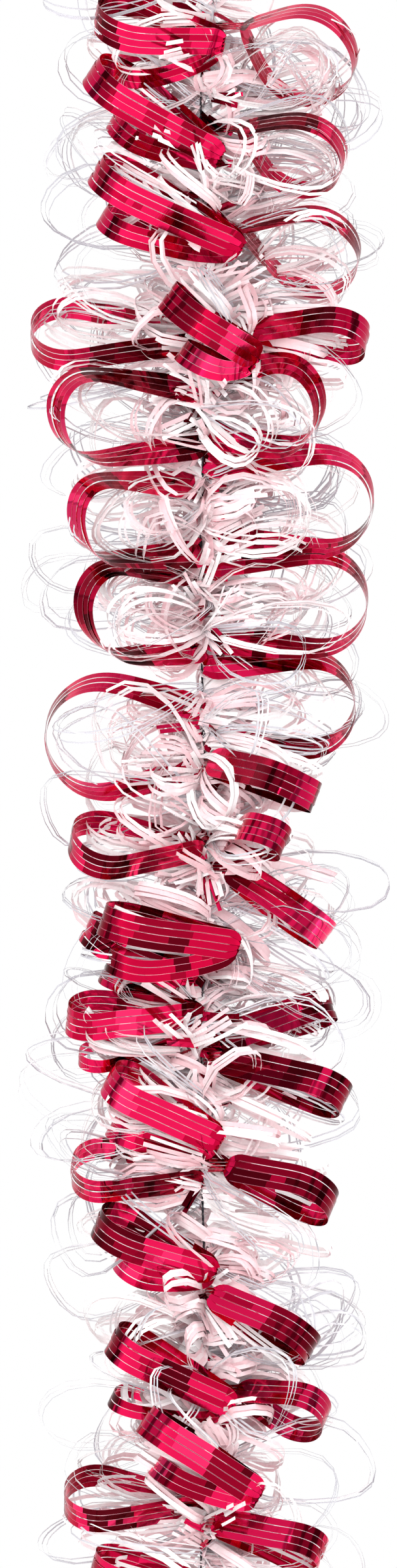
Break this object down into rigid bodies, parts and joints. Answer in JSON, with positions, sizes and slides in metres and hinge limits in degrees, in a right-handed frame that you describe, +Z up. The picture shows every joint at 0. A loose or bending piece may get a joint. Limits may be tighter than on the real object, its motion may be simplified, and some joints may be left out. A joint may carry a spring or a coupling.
{
  "type": "foil loop garland",
  "caption": "Hanging garland of crimson foil loops and white film tufts on a twisted-wire core with a hanging eye at each end.",
  "frame": {"origin": "centre of the top hanging eye", "axes": "+Z up along the core towards the top eye, -Y the front, +X to the right seen from the front"},
  "size_m": [0.1316, 0.0911, 0.6734],
  "materials": {
    "core_wire": "dark annealed wire",
    "red_film": "mirror-like metallised film",
    "white_film": "glossy pearl film"
  },
  "bodies": {
    "section_1": {"top_eye": "core_wire", "core_1": "core_wire", "red_loop_01": "red_film", "red_loop_02": "red_film", "red_loop_03": "red_film", "red_loop_04": "red_film", "red_loop_05": "red_film", "red_loop_06": "red_film", "white_tuft_01": "white_film", "white_tuft_02": "white_film", "white_tuft_03": "white_film"},
    "section_2": {"core_2": "core_wire", "red_loop_07": "red_film", "red_loop_08": "red_film", "red_loop_09": "red_film", "red_loop_10": "red_film", "red_loop_11": "red_film", "white_tuft_04": "white_film", "white_tuft_05": "white_film"},
    "section_3": {"core_3": "core_wire", "red_loop_12": "red_film", "red_loop_13": "red_film", "red_loop_14": "red_film", "red_loop_15": "red_film", "red_loop_16": "red_film", "red_loop_17": "red_film", "red_loop_18": "red_film", "white_tuft_06": "white_film", "white_tuft_07": "white_film", "white_tuft_08": "white_film"},
    "section_4": {"core_4": "core_wire", "red_loop_19": "red_film", "red_loop_20": "red_film", "red_loop_21": "red_film", "red_loop_22": "red_film", "red_loop_23": "red_film", "red_loop_24": "red_film", "red_loop_25": "red_film", "red_loop_26": "red_film", "white_tuft_09": "white_film", "white_tuft_10": "white_film", "white_tuft_11": "white_film"},
    "section_5": {"core_5": "core_wire", "red_loop_27": "red_film", "red_loop_28": "red_film", "red_loop_29": "red_film", "red_loop_30": "red_film", "red_loop_31": "red_film", "white_tuft_12": "white_film", "white_tuft_13": "white_film"},
    "section_6": {"core_6": "core_wire", "bottom_eye": "core_wire", "red_loop_32": "red_film", "red_loop_33": "red_film", "red_loop_34": "red_film", "red_loop_35": "red_film", "red_loop_36": "red_film", "red_loop_37": "red_film", "white_tuft_14": "white_film", "white_tuft_15": "white_film"}
  },
  "joints": [
    {"name": "bend_1", "type": "hinge", "parent": "section_1", "child": "section_2", "pos_m": [0, 0, -0.129], "axis": [0, 1, 0], "range_deg": [-8, 8]},
    {"name": "bend_2", "type": "hinge", "parent": "section_2", "child": "section_3", "pos_m": [0, 0, -0.1935], "axis": [1, 0, 0], "range_deg": [-8, 8]},
    {"name": "bend_3", "type": "hinge", "parent": "section_3", "child": "section_4", "pos_m": [0, 0, -0.328], "axis": [1, 0, 0], "range_deg": [-8, 8]},
    {"name": "bend_4", "type": "hinge", "parent": "section_4", "child": "section_5", "pos_m": [0, 0, -0.442], "axis": [0, 1, 0], "range_deg": [-8, 8]},
    {"name": "bend_5", "type": "hinge", "parent": "section_5", "child": "section_6", "pos_m": [0, 0, -0.536], "axis": [1, 0, 0], "range_deg": [-8, 8]}
  ]
}
